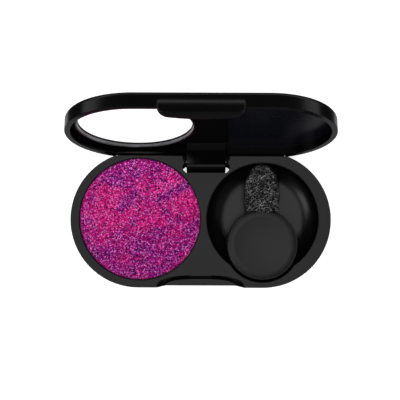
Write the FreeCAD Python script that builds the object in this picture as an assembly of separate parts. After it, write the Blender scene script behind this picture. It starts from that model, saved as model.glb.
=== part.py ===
import FreeCAD, Part
import math
import os

V = FreeCAD.Vector

# ---------------------------------------------------------------- dimensions
# Frame: origin at the centre of the base's underside, +Z up, +X right,
# +Y towards the hinge.  Millimetres.  The lid is modelled closed and then
# turned about the hinge axis to its open rest position.

# outline shared by base and lid
END_R = 15.16            # radius of the two round ends
END_C = 13.84            # end centres at x = +/- END_C
REAR_FLAT = 14.20        # flat at the rear, cut across the round-ended outline
CORNER_R = 0.35          # rounding where that flat meets the ends

# base
DECK_Z = 6.80            # height of the deck
DRAFT_DEG = 6.0          # the outer wall leans in towards the underside
DECK_EDGE_R = 0.12
FOOT_EDGE_R = 0.60
COVER_T = 1.00           # bottom cover thickness
COVER_WALL = 1.30        # base wall left around the bottom cover
COVER_GAP = 0.05

# eyeshadow pan and powder
PAN_X, PAN_Y = -13.50, 0.10
PAN_WELL_R = 13.50
PAN_WELL_Z = 2.05
PAN_R = 13.42
PAN_T = 0.28
PAN_GLUE_T = 0.15
PAN_GLUE_R = 9.0
PAN_RIM_Z = 6.25
POWDER_Z = 6.60
POWDER_R = 13.40         # the pressed cake covers the pan's rim
WELL_EDGE_R = 0.20

# applicator well
APP_X, APP_Y = 13.80, 0.20
APP_R = 12.40
APP_FLOOR_Z = 2.20
APP_FLAT_R = 8.00         # flat middle of its floor
APP_BOWL_R = 6.00         # the floor rises round it on this radius
APP_BOWL_DEG = 40.0       # to this slope, then on a smaller radius to the upright wall
APP_EDGE_R = 0.22

# knob recess and knob
KNOB_X, KNOB_Y = 13.75, -5.50
RECESS_R = 8.34
RECESS_FILLET = 0.60
KNOB_R = 7.80
KNOB_Z0 = 2.35
KNOB_Z1 = 7.50
KNOB_FOOT_R = 0.40
KNOB_DISH = 0.38
KNOB_CREST_R = 6.30       # the dish ends at a crest, then a shoulder falls to the edge
KNOB_SHOULDER_DEG = 12.0
KNOB_EDGE = 0.35
POCKET_Y = 0.90          # front end of the pocket in the knob's rear side
POCKET_W = 8.20
KNOB_REAR_Y = 1.65       # the pocket's roof is cut off straight here, over the sponge
POCKET_Z0, POCKET_Z1 = 3.15, 6.78

# sponge and its blade
SPONGE_X = 13.68
SPONGE_HALF = [(0.95, 3.58), (1.94, 3.66), (4.00, 3.86), (5.94, 3.90),
               (8.05, 3.66), (9.95, 3.08), (11.28, 2.20), (11.98, 1.24)]
SPONGE_TIP_Y = 12.30
SPONGE_Z0, SPONGE_Z1 = 3.65, 6.65
SPONGE_EDGE_R = 1.10
STEM_W = 4.00
STEM_Z0, STEM_Z1 = 4.55, 5.75
STEM_Y0, STEM_Y1 = -3.50, 10.00

# front scoop for the thumb tab
SCOOP_A, SCOOP_B = 9.79, 2.85         # half width and depth at the deck
LEDGE_A, LEDGE_B = 7.90, 1.75         # the same at the ledge
SCOOP_N = 2.6                         # exponent of the scoop's curve
LEDGE_Z = 4.15
CATCH_W = 5.0                         # small catch ridge on the scoop's wall
CATCH_Y = -13.20
CATCH_Z0, CATCH_Z1 = 5.60, 6.72

# hinge
AXIS_Y = 12.86
RIM_GAP = 0.12                        # closed lid's rim above the deck
AXIS_DROP = 1.733                     # axis below the lid's rim
AXIS_Z = DECK_Z + RIM_GAP - AXIS_DROP
OPEN_DEG = 107.3
NOTCH_X0, NOTCH_X1 = -4.08, 6.47
NOTCH_Y = 10.43
NOTCH_CHAMFER = 0.80
TONGUE_X0, TONGUE_X1 = -3.18, 5.53
TONGUE_Y = 10.36                      # where the tongue leaves the lid's ceiling
TONGUE_RISE = 2.50                    # its flat front face ends this far above the axis
KNUCKLE_R = 2.25
NOSE_R = 1.46                         # the knuckle's round nose, which faces forward when open
BOSS_R0, BOSS_R1 = 1.70, 1.05
BOSS_GAP = 0.10
PIN_R = 0.60
PIN_BORE_R = 0.65
PIN_X0, PIN_X1 = -7.50, 9.40
WEB_Z = 2.30                          # web under the knuckle
WEB_HOLE_Y = 11.80                    # two corner holes in it end here
WEDGE_Y = 12.50                       # the bosses run on as wedges behind this
WEDGE_Z0, WEDGE_Z1 = 6.60, 5.75       # their tops, at the notch and at the knuckle
FLANGE_X, FLANGE_Y = 18.90, 15.00     # low flange below the open lid's rear edge

# lid
LID_H = 3.45
LID_EDGE_R = 1.00
LID_RIM_R = 0.10
LID_WALL = 1.20
CEIL_W = 2.20                         # ceiling depth above the rim
RELIEF_X = 19.05                      # rear rim relief, half length
RELIEF_END_X = 21.4                   # beyond it only the rim's inner side is bevelled, to here
RELIEF_BEVEL = 0.84
RELIEF_BEVEL_H = 0.42
RELIEF_Y = 11.45
RELIEF_H = 0.30
PLATE_X1 = 6.10                       # mirror plate: right edge at the rear
PLATE_TAPER = 0.55                    # that edge leans in towards the front
PLATE_BEND_Y = 1.3                    # over the length behind this
PLATE_T = 0.30
PLATE_GAP = 0.12                      # clearance to the lid's wall

# mirror
MIR_X, MIR_Y = -13.95, -1.00
MIR_WELL_R = 12.21
MIR_R = 12.15
MIR_T = 0.55
MIR_TAPE_T = 0.10
MIR_TAPE_R = 11.6
RING_IN_R = 12.27                     # bezel ring round the mirror, on the plate
RING_DRAFT = 0.06
RING_LIP_R = 0.20
RING_OUT_R = 12.74
RING_H = 1.00                         # height over the lid's ceiling
RING_FOOT = 0.15                      # the bezel's foot sits in a groove this deep
RING_FOOT_R0, RING_FOOT_R1 = 12.36, 12.66

# thumb tab
TAB_HALF = 8.95
TAB_DROP = 1.92
TAB_TOP_W = 1.98
TAB_PROUD = 0.80
TAB_LOW_R = 2.20
TAB_UP_R = 1.40
TAB_BACK = 1.80                       # depth of the tab's inner bulge
TAB_BEAD = 0.20
TAB_EDGE_R = 0.60
TAB_ARC_R = 3.60                      # the tab's face rolls back to the lid above
TAB_ARC_W = -0.38                     # this height over the rim

# blank label
LABEL_X, LABEL_Y, LABEL_R = 14.0, -1.0, 8.5
LABEL_T = 0.10
LABEL_RECESS = 0.15

RIM_Z = DECK_Z + RIM_GAP
os.makedirs("parts", exist_ok=True)


# ------------------------------------------------------------------- helpers
def box(x0, x1, y0, y1, z0, z1):
    return Part.makeBox(x1 - x0, y1 - y0, z1 - z0, V(x0, y0, z0))


def cyl(r, x, y, z0, z1):
    return Part.makeCylinder(r, z1 - z0, V(x, y, z0))


def fuse(first, *rest):
    s = first.multiFuse(list(rest))
    return s.removeSplitter()


def cut(first, *rest):
    for r in rest:
        first = first.cut(r)
    return first


def one(shape):
    sol = shape.Solids
    if len(sol) != 1:
        sol = sorted(sol, key=lambda q: -q.Volume)
        if sum(q.Volume for q in sol[1:]) > 0.02:
            raise RuntimeError("pieces: %s" % [q.Volume for q in sol])
    return sol[0]


def stadium(r0, r1, c, z0, z1):
    """Round-ended block, radius r0 at z0 and r1 at z1."""
    if abs(r0 - r1) < 1e-9:
        a = cyl(r0, -c, 0, z0, z1)
        b = cyl(r0, c, 0, z0, z1)
        m = box(-c, c, -r0, r0, z0, z1)
    else:
        a = Part.makeCone(r0, r1, z1 - z0, V(-c, 0, z0))
        b = Part.makeCone(r0, r1, z1 - z0, V(c, 0, z0))
        pts = [V(-c, -r0, z0), V(-c, r0, z0), V(-c, r1, z1), V(-c, -r1, z1), V(-c, -r0, z0)]
        m = Part.Face(Part.makePolygon(pts)).extrude(V(2 * c, 0, 0))
    return fuse(a, b, m)


def rear_cut(shape, y, z0, z1):
    return cut(shape, box(-60, 60, y, y + 60, z0 - 5, z1 + 5))


def edges_at_z(shape, z, tol=1e-4):
    return [e for e in shape.Edges
            if all(abs(v.Z - z) < tol for v in e.Vertexes)
            and abs(e.BoundBox.ZMax - z) < 1e-3 and abs(e.BoundBox.ZMin - z) < 1e-3]


def corner_edges(shape, y):
    """Upright edges where the rear flat meets the round ends."""
    out = []
    for e in shape.Edges:
        b = e.BoundBox
        if abs(b.YMin - y) < 1e-3 and abs(b.YMax - y) < 1e-3 and (b.ZMax - b.ZMin) > 1.0:
            out.append(e)
    return out


def revolve_cut(x, y, pts):
    """Solid of revolution about the vertical through (x, y).  pts is a list of
    ('l', r, z) corners and ('a', rm, zm, r, z) arcs, from the axis outwards."""
    cur = None
    edges = []
    first = None
    for p in pts:
        end = V(p[-2], 0, p[-1])
        if cur is None:
            first = end
        elif p[0] == 'l':
            edges.append(Part.LineSegment(cur, end).toShape())
        else:
            edges.append(Part.Arc(cur, V(p[1], 0, p[2]), end).toShape())
        cur = end
    edges.append(Part.LineSegment(cur, first).toShape())
    f = Part.Face(Part.Wire(edges))
    s = f.revolve(V(0, 0, 0), V(0, 0, 1), 360)
    s = Part.Solid(s.Shells[0]) if s.ShapeType != "Solid" else s
    if s.Volume < 0:
        s.reverse()
    s.translate(V(x, y, 0))
    return s


S45 = math.sqrt(0.5)


def well_tool(x, y, r, floor, fillet, edge):
    """Cutter for a round well with a rounded floor edge and a rounded rim."""
    top = DECK_Z
    return revolve_cut(x, y, [
        ('l', 0, floor),
        ('l', r - fillet, floor),
        ('a', r - fillet + fillet * S45, floor + fillet - fillet * S45, r, floor + fillet),
        ('l', r, top - edge),
        ('a', r + edge - edge * S45, top - edge + edge * S45, r + edge, top),
        ('l', r + edge, top + 3.0),
        ('l', 0, top + 3.0)])


def bowl_tool(x, y, r, floor, edge):
    """Cutter for the applicator's well: flat middle, wide bowl, upright wall and rounded rim."""
    top = DECK_Z
    t = math.radians(APP_BOWL_DEG)
    t2 = (t + math.pi / 2) / 2
    r1, z1 = APP_FLAT_R + APP_BOWL_R * math.sin(t), floor + APP_BOWL_R * (1 - math.cos(t))
    q = (r - r1) / (1 - math.sin(t))
    z2 = z1 + q * math.cos(t)
    return revolve_cut(x, y, [
        ('l', 0, floor),
        ('l', APP_FLAT_R, floor),
        ('a', APP_FLAT_R + APP_BOWL_R * math.sin(t / 2), floor + APP_BOWL_R * (1 - math.cos(t / 2)), r1, z1),
        ('a', r - q + q * math.sin(t2), z2 - q * math.cos(t2), r, z2),
        ('l', r, top - edge),
        ('a', r + edge - edge * S45, top - edge + edge * S45, r + edge, top),
        ('l', r + edge, top + 3.0),
        ('l', 0, top + 3.0)])


def super_points(a, b, n, count):
    pts = []
    for i in range(count + 1):
        t = math.pi * i / count
        c, s = math.cos(t), math.sin(t)
        x = -a * math.copysign(abs(c) ** (2.0 / n), c)
        y = b * abs(s) ** (2.0 / n) if s > 1e-9 else 0.0
        pts.append((x, y))
    return pts


def scoop_wire(a, b, z):
    pts = [V(x, -END_R + y, z) for x, y in super_points(a, b, SCOOP_N, 16)]
    sp = Part.BSplineCurve()
    sp.interpolate(pts)
    far = -END_R - 4.0
    p0, p1 = pts[0], pts[-1]
    q0, q1 = V(p0.x, far, z), V(p1.x, far, z)
    return Part.Wire([sp.toShape(),
                      Part.LineSegment(p1, q1).toShape(),
                      Part.LineSegment(q1, q0).toShape(),
                      Part.LineSegment(q0, p0).toShape()])


def save(name, shape):
    s = one(shape)
    if not s.isValid():
        s = s.copy()
        s.fix(1e-5, 1e-5, 1e-4)
    print("%-20s %9.3f mm3  valid %s  z %.2f..%.2f" % (
        name, s.Volume, s.isValid(), s.BoundBox.ZMin, s.BoundBox.ZMax))
    s.exportStep("parts/%s.step" % name)
    return s


# ----------------------------------------------------------------- base body
foot_r = END_R - DECK_Z * math.tan(math.radians(DRAFT_DEG))
outer = stadium(foot_r, END_R, END_C, 0.0, DECK_Z)
outer = one(rear_cut(outer, REAR_FLAT, 0, DECK_Z))
outer = outer.makeFillet(CORNER_R, corner_edges(outer, REAR_FLAT))
outer = outer.makeFillet(DECK_EDGE_R, edges_at_z(outer, DECK_Z))
outer = outer.makeFillet(FOOT_EDGE_R, edges_at_z(outer, 0.0))
base = outer

# wells
base = cut(base, well_tool(PAN_X, PAN_Y, PAN_WELL_R, PAN_WELL_Z, 0.20, WELL_EDGE_R))
base = cut(base, bowl_tool(APP_X, APP_Y, APP_R, APP_FLOOR_Z, APP_EDGE_R))
base = cut(base, well_tool(KNOB_X, KNOB_Y, RECESS_R, APP_FLOOR_Z, RECESS_FILLET, APP_EDGE_R))

# front scoop: the curve at the deck leans out to a smaller curve at the ledge
over = 0.6
grow = over / (DECK_Z - LEDGE_Z)
scoop = Part.makeLoft([
    scoop_wire(LEDGE_A, LEDGE_B, LEDGE_Z),
    scoop_wire(SCOOP_A + grow * (SCOOP_A - LEDGE_A), SCOOP_B + grow * (SCOOP_B - LEDGE_B),
               DECK_Z + over)], True, True)
base = cut(base, scoop)

# catch ridge on the scoop's wall
rid = [V(-CATCH_W / 2, -12.2, CATCH_Z0), V(-CATCH_W / 2, CATCH_Y + 0.10, CATCH_Z0),
       V(-CATCH_W / 2, CATCH_Y, CATCH_Z0 + 0.12), V(-CATCH_W / 2, CATCH_Y, CATCH_Z0 + 0.16),
       V(-CATCH_W / 2, -12.50, CATCH_Z1), V(-CATCH_W / 2, -12.2, CATCH_Z1),
       V(-CATCH_W / 2, -12.2, CATCH_Z0)]
catch = Part.Face(Part.makePolygon(rid)).extrude(V(CATCH_W, 0, 0))
base = fuse(base, catch)

# hinge notch, right through, with bevelled inner corners
notch = box(NOTCH_X0, NOTCH_X1, NOTCH_Y, REAR_FLAT + 5, -1, DECK_Z + 1)
for sx, x in ((1, NOTCH_X0), (-1, NOTCH_X1)):
    tri = [V(x, NOTCH_Y, -2), V(x + sx * NOTCH_CHAMFER, NOTCH_Y, -2),
           V(x, NOTCH_Y + NOTCH_CHAMFER, -2), V(x, NOTCH_Y, -2)]
    notch = cut(notch, Part.Face(Part.makePolygon(tri)).extrude(V(0, 0, DECK_Z + 4)))
base = cut(base, notch)

# conical bosses that carry the pin
boss_l = Part.makeCone(BOSS_R0 + 0.2, BOSS_R1, (TONGUE_X0 - BOSS_GAP) - NOTCH_X0 + 0.25,
                       V(NOTCH_X0 - 0.25, AXIS_Y, AXIS_Z), V(1, 0, 0))
boss_r = Part.makeCone(BOSS_R0 + 0.2, BOSS_R1, NOTCH_X1 - (TONGUE_X1 + BOSS_GAP) + 0.25,
                       V(NOTCH_X1 + 0.25, AXIS_Y, AXIS_Z), V(-1, 0, 0))
keep = box(NOTCH_X0 - 1, NOTCH_X1 + 1, NOTCH_Y, REAR_FLAT - 0.02, 0.5, DECK_Z - 0.05)
base = fuse(base, boss_l.common(keep), boss_r.common(keep))

# behind the pin the bosses run on as wedges that slope down to the knuckle
for xo, xi in ((NOTCH_X0 - 0.25, TONGUE_X0 - BOSS_GAP), (NOTCH_X1 + 0.25, TONGUE_X1 + BOSS_GAP)):
    w = [V(xo, WEDGE_Y, 1.0), V(xi, WEDGE_Y, 1.0), V(xi, WEDGE_Y, WEDGE_Z1), V(xo, WEDGE_Y, WEDGE_Z0), V(xo, WEDGE_Y, 1.0)]
    base = fuse(base, Part.Face(Part.makePolygon(w)).extrude(V(0, REAR_FLAT - 0.02 - WEDGE_Y, 0)))

# web below the knuckle, open only at its two front corners, and the low rear flange
web = box(NOTCH_X0 - 0.2, NOTCH_X1 + 0.2, NOTCH_Y - 0.2, REAR_FLAT, 0.0, WEB_Z)
web = cut(web, box(NOTCH_X0, TONGUE_X0, NOTCH_Y, WEB_HOLE_Y, -1, WEB_Z + 1),
          box(TONGUE_X1, NOTCH_X1, NOTCH_Y, WEB_HOLE_Y, -1, WEB_Z + 1))
flange = box(-FLANGE_X, FLANGE_X, REAR_FLAT - 0.4, FLANGE_Y, 0.0, WEB_Z)
flange = flange.makeFillet(0.45, [e for e in flange.Edges if abs(e.BoundBox.YMin - FLANGE_Y) < 1e-6])
flange = cut(flange, box(-40, 40, 0, 40, -1.0, 0.0))
base = fuse(base, web, flange)
for sx, x in ((1, NOTCH_X0), (-1, NOTCH_X1)):
    tri = [V(x, NOTCH_Y, 0), V(x + sx * NOTCH_CHAMFER, NOTCH_Y, 0),
           V(x, NOTCH_Y + NOTCH_CHAMFER, 0), V(x, NOTCH_Y, 0)]
    base = fuse(base, Part.Face(Part.makePolygon(tri)).extrude(V(0, 0, WEB_Z)))

# pin hole
pin_hole = Part.makeCylinder(PIN_R, PIN_X1 - PIN_X0 + 3.0, V(PIN_X0 - 3.0, AXIS_Y, AXIS_Z), V(1, 0, 0))
base = cut(base, pin_hole)

# seat of the bottom cover, and a core pocket above it between the wells
in_r = foot_r - COVER_WALL
guard = box(NOTCH_X0 - 1.3, NOTCH_X1 + 1.3, NOTCH_Y - 1.3, 40, -5, 20)
seat = stadium(in_r, in_r, END_C, -1.0, COVER_T)
seat = cut(rear_cut(seat, REAR_FLAT - COVER_WALL, -1, COVER_T), guard)
base = cut(base, seat)
core = [V(-3.6, -12.2, 0.5), V(3.2, -12.2, 0.5), V(1.0, -7.2, 0.5), V(0.2, -7.2, 0.5), V(-3.6, -12.2, 0.5)]
base = cut(base, Part.Face(Part.makePolygon(core)).extrude(V(0, 0, 2.6)))
base = save("base_body", base)

# -------------------------------------------------------------- bottom cover
c_r = in_r - COVER_GAP
cover = stadium(c_r, c_r, END_C, 0.0, COVER_T)
cover = rear_cut(cover, REAR_FLAT - COVER_WALL - COVER_GAP, 0, COVER_T)
cover = one(cut(cover, box(NOTCH_X0 - 1.3 - COVER_GAP, NOTCH_X1 + 1.3 + COVER_GAP,
                           NOTCH_Y - 1.3 - COVER_GAP, 40, -5, 20)))
cover = cover.makeChamfer(0.15, edges_at_z(cover, 0.0))
cover = cut(cover, cyl(LABEL_R + 0.15, LABEL_X, LABEL_Y, -1.0, LABEL_RECESS))
save("base_bottom_cover", cover)

label = cyl(LABEL_R, LABEL_X, LABEL_Y, LABEL_RECESS - LABEL_T, LABEL_RECESS)
save("underside_label", label)

# ------------------------------------------------------- pan, glue and powder
glue = cyl(PAN_GLUE_R, PAN_X, PAN_Y, PAN_WELL_Z, PAN_WELL_Z + PAN_GLUE_T)
save("pan_adhesive", glue)

pan_z0 = PAN_WELL_Z + PAN_GLUE_T
pan = cyl(PAN_R, PAN_X, PAN_Y, pan_z0, PAN_RIM_Z)
pan = pan.makeFillet(0.45, edges_at_z(pan, pan_z0))
pan = cut(pan, cyl(PAN_R - PAN_T, PAN_X, PAN_Y, pan_z0 + PAN_T, PAN_RIM_Z + 1))
save("eyeshadow_pan", pan)

cake = cyl(PAN_R - PAN_T, PAN_X, PAN_Y, pan_z0 + PAN_T, PAN_RIM_Z)
cap = cyl(POWDER_R, PAN_X, PAN_Y, PAN_RIM_Z, POWDER_Z)
cap = cap.makeFillet(0.15, edges_at_z(cap, POWDER_Z))
save("eyeshadow_powder", fuse(cake, cap))

# ----------------------------------------------------------------- hinge pin
pin = Part.makeCylinder(PIN_R, PIN_X1 - PIN_X0, V(PIN_X0, AXIS_Y, AXIS_Z), V(1, 0, 0))
pin = pin.makeChamfer(0.12, [e for e in pin.Edges if e.Curve.TypeId == 'Part::GeomCircle'])
save("hinge_pin", pin)

# ---------------------------------------------------------------- applicator
zt, zb = KNOB_Z1, KNOB_Z0
rb = KNOB_FOOT_R
rd = KNOB_CREST_R
dish_r = (rd * rd + KNOB_DISH * KNOB_DISH) / (2 * KNOB_DISH)
mid = rd / 2.0
mid_z = zt - KNOB_DISH + (dish_r - math.sqrt(dish_r * dish_r - mid * mid))
t = math.radians(KNOB_SHOULDER_DEG)
sr = (KNOB_R - KNOB_EDGE - rd) / math.sin(t)
fr = KNOB_EDGE / (1 - math.sin(t))
drop = sr * (1 - math.cos(t))
fz = zt - drop - fr * math.cos(t)
m2 = (t + math.pi / 2) / 2
knob = revolve_cut(KNOB_X, KNOB_Y, [
    ('l', 0, zb),
    ('l', KNOB_R - rb, zb),
    ('a', KNOB_R - rb + rb * S45, zb + rb - rb * S45, KNOB_R, zb + rb),
    ('l', KNOB_R, fz),
    ('a', KNOB_R - fr + fr * math.sin(m2), fz + fr * math.cos(m2), rd + sr * math.sin(t), zt - drop),
    ('a', rd + sr * math.sin(t / 2), zt - sr * (1 - math.cos(t / 2)), rd, zt),
    ('a', mid, mid_z, 0, zt - KNOB_DISH)])
knob = cut(knob, box(SPONGE_X - POCKET_W / 2, SPONGE_X + POCKET_W / 2, POCKET_Y, 6.0, POCKET_Z0, POCKET_Z1))
knob = cut(knob, box(SPONGE_X - 4.0, SPONGE_X + 4.0, KNOB_REAR_Y, 6.0, POCKET_Z0, KNOB_Z1 + 1))
knob = cut(knob, box(SPONGE_X - STEM_W / 2, SPONGE_X + STEM_W / 2, STEM_Y0, 2.0, STEM_Z0, STEM_Z1))
save("applicator_knob", knob)

stem = box(SPONGE_X - STEM_W / 2, SPONGE_X + STEM_W / 2, STEM_Y0, STEM_Y1, STEM_Z0, STEM_Z1)
tipe = [e for e in stem.Edges if abs(e.BoundBox.YMin - STEM_Y1) < 1e-6
        and e.BoundBox.ZMax - e.BoundBox.ZMin > 1.0]
stem = stem.makeFillet(1.6, tipe)
save("applicator_stem", stem)

left = [V(SPONGE_X - h, y, SPONGE_Z0) for y, h in SPONGE_HALF]
right = [V(SPONGE_X + h, y, SPONGE_Z0) for y, h in reversed(SPONGE_HALF)]
tip = [V(SPONGE_X, SPONGE_TIP_Y, SPONGE_Z0)]
curve = Part.BSplineCurve()
curve.interpolate(left + tip + right)
wire = Part.Wire([curve.toShape(), Part.LineSegment(right[-1], left[0]).toShape()])
sponge = Part.Face(wire).extrude(V(0, 0, SPONGE_Z1 - SPONGE_Z0))
rim = [e for e in sponge.Edges if e.BoundBox.ZMax - e.BoundBox.ZMin < 1e-6
       and e.BoundBox.YMax - e.BoundBox.YMin > 2.0]
sponge = sponge.makeFillet(SPONGE_EDGE_R, rim)
sponge = cut(sponge, stem)
save("applicator_sponge", sponge)

# ----------------------------------------------------------------------- lid
W0 = RIM_Z
shell = stadium(END_R, END_R, END_C, W0, W0 + LID_H)
shell = one(rear_cut(shell, REAR_FLAT, W0, W0 + LID_H))
shell = shell.makeFillet(CORNER_R, corner_edges(shell, REAR_FLAT))
shell = shell.makeFillet(LID_EDGE_R - 0.02, edges_at_z(shell, W0 + LID_H))
shell = shell.makeFillet(LID_RIM_R, edges_at_z(shell, W0))

hollow = stadium(END_R - LID_WALL, END_R - LID_WALL, END_C, W0 - 2.0, W0 + CEIL_W)
hollow = one(rear_cut(hollow, REAR_FLAT - LID_WALL, W0 - 2.0, W0 + CEIL_W))
hollow = hollow.makeFillet(0.8, corner_edges(hollow, REAR_FLAT - LID_WALL))
shell = cut(shell, hollow)
bevel = stadium(END_R - 0.02, END_R - 0.02 - RELIEF_BEVEL, END_C, W0 - 0.001, W0 + RELIEF_BEVEL_H)
ends = [bevel.common(box(x0, x1, RELIEF_Y, 30, W0 - 2.0, W0 + 2.0))
        for x0, x1 in ((-RELIEF_END_X, -RELIEF_X + 0.01), (RELIEF_X - 0.01, RELIEF_END_X))]
pts = [V(-RELIEF_X, RELIEF_Y, W0 - 1.0), V(-RELIEF_X, REAR_FLAT, W0 - 1.0), V(-RELIEF_X, REAR_FLAT, W0),
       V(-RELIEF_X, REAR_FLAT - RELIEF_BEVEL, W0 + RELIEF_BEVEL_H), V(-RELIEF_X, RELIEF_Y, W0 + RELIEF_BEVEL_H)]
middle = Part.Face(Part.makePolygon(pts + [pts[0]])).extrude(V(2 * RELIEF_X, 0, 0))
shell = cut(shell, box(-RELIEF_X, RELIEF_X, RELIEF_Y, 30, W0 - 2.0, W0 + RELIEF_H), middle, *ends)

# mirror plate: covers the left part of the ceiling, with a round hole for the mirror
cw = W0 + CEIL_W
pz = cw - PLATE_T
plate_r = END_R - LID_WALL - PLATE_GAP
plate = stadium(plate_r, plate_r, END_C, pz, cw)
plate = one(rear_cut(plate, REAR_FLAT - LID_WALL - PLATE_GAP, pz, cw))


def plate_plan(z, d):
    pts = [V(-40, -20, z), V(PLATE_X1 - PLATE_TAPER + d, -20, z), V(PLATE_X1 - PLATE_TAPER + d, PLATE_BEND_Y, z),
           V(PLATE_X1 + d, REAR_FLAT, z), V(-40, REAR_FLAT, z)]
    return Part.makePolygon(pts + [pts[0]])


plate = one(plate.common(Part.makeLoft([plate_plan(pz, 0.0), plate_plan(cw, 0.8 * PLATE_T)], True, True)))
plate = cut(plate, box(TONGUE_X0 - 0.10, 20, TONGUE_Y - 0.06, 20, pz - 1, cw + 1),
            cyl(MIR_WELL_R, MIR_X, MIR_Y, pz - 1, cw + 1))

# bezel ring on the plate: an upright inner wall with a rounded lip
lip = RING_IN_R + RING_DRAFT
bezel = revolve_cut(MIR_X, MIR_Y, [
    ('l', RING_FOOT_R0, pz + RING_FOOT), ('l', RING_FOOT_R0, pz), ('l', RING_IN_R, pz),
    ('l', lip, cw - RING_H + RING_LIP_R),
    ('a', lip + RING_LIP_R * (1 - S45), cw - RING_H + RING_LIP_R * (1 - S45), lip + RING_LIP_R, cw - RING_H),
    ('l', RING_OUT_R - 0.06, cw - RING_H),
    ('l', RING_OUT_R, cw - RING_H + 0.06), ('l', RING_OUT_R, pz), ('l', RING_FOOT_R1, pz),
    ('l', RING_FOOT_R1, pz + RING_FOOT)])
groove = revolve_cut(MIR_X, MIR_Y, [
    ('l', RING_FOOT_R0, pz + RING_FOOT), ('l', RING_FOOT_R0, pz - 1.0),
    ('l', RING_FOOT_R1, pz - 1.0), ('l', RING_FOOT_R1, pz + RING_FOOT)])
plate = cut(plate, groove)
shell = cut(shell, cyl(MIR_WELL_R, MIR_X, MIR_Y, cw - 0.001, cw + MIR_T + MIR_TAPE_T))

# hinge tongue with its knuckle
turn = math.radians(OPEN_DEG)
nose_a = math.pi - turn                       # direction of the nose, below the rear
noy, noz = math.cos(nose_a) * (KNUCKLE_R - NOSE_R), -math.sin(nose_a) * (KNUCKLE_R - NOSE_R)


def hinge_pt(dy, dz):
    return V(TONGUE_X0, AXIS_Y + dy, AXIS_Z + dz)


nose_end = hinge_pt(KNUCKLE_R * math.cos(nose_a), -KNUCKLE_R * math.sin(nose_a))
prof = [hinge_pt(noy - NOSE_R, noz),
        hinge_pt(noy - NOSE_R, TONGUE_RISE),
        V(TONGUE_X0, TONGUE_Y, cw - PLATE_T),
        V(TONGUE_X0, TONGUE_Y, cw + 0.5),
        V(TONGUE_X0, REAR_FLAT - 0.25, cw + 0.5),
        V(TONGUE_X0, REAR_FLAT - 0.10, W0 + 1.30),
        hinge_pt(KNUCKLE_R, 0.55),
        hinge_pt(KNUCKLE_R, 0)]
edges = [Part.LineSegment(prof[i], prof[i + 1]).toShape() for i in range(len(prof) - 1)]
edges.append(Part.Arc(prof[-1], hinge_pt(KNUCKLE_R * math.cos(nose_a / 2), -KNUCKLE_R * math.sin(nose_a / 2)),
                      nose_end).toShape())
mid_a = (nose_a + math.pi) / 2
edges.append(Part.Arc(nose_end, hinge_pt(noy + NOSE_R * math.cos(mid_a), noz - NOSE_R * math.sin(mid_a)),
                      prof[0]).toShape())
tongue = Part.Face(Part.Wire(edges)).extrude(V(TONGUE_X1 - TONGUE_X0, 0, 0))
tongue_e = [e for e in tongue.Edges if e.BoundBox.XMax - e.BoundBox.XMin < 1e-6
            and e.BoundBox.ZMax < cw]
tongue = tongue.makeFillet(0.18, tongue_e)
shell = fuse(shell, tongue)
shell = cut(shell, Part.makeCylinder(PIN_BORE_R, TONGUE_X1 - TONGUE_X0 + 2,
                                     V(TONGUE_X0 - 1, AXIS_Y, AXIS_Z), V(1, 0, 0)))


# thumb tab at the front
def tab_face(y):
    x, z0, z1, lo, up = TAB_HALF, W0 - TAB_DROP, W0 + TAB_TOP_W, TAB_LOW_R, TAB_UP_R
    k = 1 - S45
    seg = [Part.LineSegment(V(-x + lo, y, z0), V(x - lo, y, z0)),
           Part.Arc(V(x - lo, y, z0), V(x - lo * k, y, z0 + lo * k), V(x, y, z0 + lo)),
           Part.LineSegment(V(x, y, z0 + lo), V(x, y, z1 - up)),
           Part.Arc(V(x, y, z1 - up), V(x - up * k, y, z1 - up * k), V(x - up, y, z1)),
           Part.LineSegment(V(x - up, y, z1), V(-x + up, y, z1)),
           Part.Arc(V(-x + up, y, z1), V(-x + up * k, y, z1 - up * k), V(-x, y, z1 - up)),
           Part.LineSegment(V(-x, y, z1 - up), V(-x, y, z0 + lo)),
           Part.Arc(V(-x, y, z0 + lo), V(-x + lo * k, y, z0 + lo * k), V(-x + lo, y, z0))]
    return Part.Face(Part.Wire([s.toShape() for s in seg]))


front = -END_R - TAB_PROUD
tab = tab_face(front).extrude(V(0, 4.0, 0))
tab = tab.makeFillet(TAB_EDGE_R, [e for e in tab.Edges if abs(e.BoundBox.YMax - front) < 1e-5])
zc = W0 + TAB_ARC_W
roll = [Part.LineSegment(V(-20, front, W0 - 8), V(-20, front, zc)),
        Part.Arc(V(-20, front, zc), V(-20, front + TAB_ARC_R * (1 - math.cos(0.5)), zc + TAB_ARC_R * math.sin(0.5)),
                 V(-20, front + TAB_ARC_R * (1 - math.cos(1.0)), zc + TAB_ARC_R * math.sin(1.0)))]
top = roll[-1].EndPoint
roll += [Part.LineSegment(top, V(-20, 0, top.z)), Part.LineSegment(V(-20, 0, top.z), V(-20, 0, W0 - 8)),
         Part.LineSegment(V(-20, 0, W0 - 8), V(-20, front, W0 - 8))]
tab = one(tab.common(Part.Face(Part.Wire([q.toShape() for q in roll])).extrude(V(40, 0, 0))))
upper = tab.common(box(-20, 20, -20, -END_R + LID_WALL - 0.1, W0 + 0.1, W0 + 6))
b0, b1, b2 = V(-TAB_HALF - 0.3, -END_R, W0 - 6), V(0, -END_R + TAB_BACK, W0 - 6), V(TAB_HALF + 0.3, -END_R, W0 - 6)
plan = Part.Wire([Part.Arc(b0, b1, b2).toShape(),
                  Part.LineSegment(b2, V(b2.x, -18, b2.z)).toShape(),
                  Part.LineSegment(V(b2.x, -18, b2.z), V(b0.x, -18, b0.z)).toShape(),
                  Part.LineSegment(V(b0.x, -18, b0.z), b0).toShape()])
lower = tab.common(Part.Face(plan).extrude(V(0, 0, 6.3)))
lower = one(lower)
bead_z = 5.25
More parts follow.
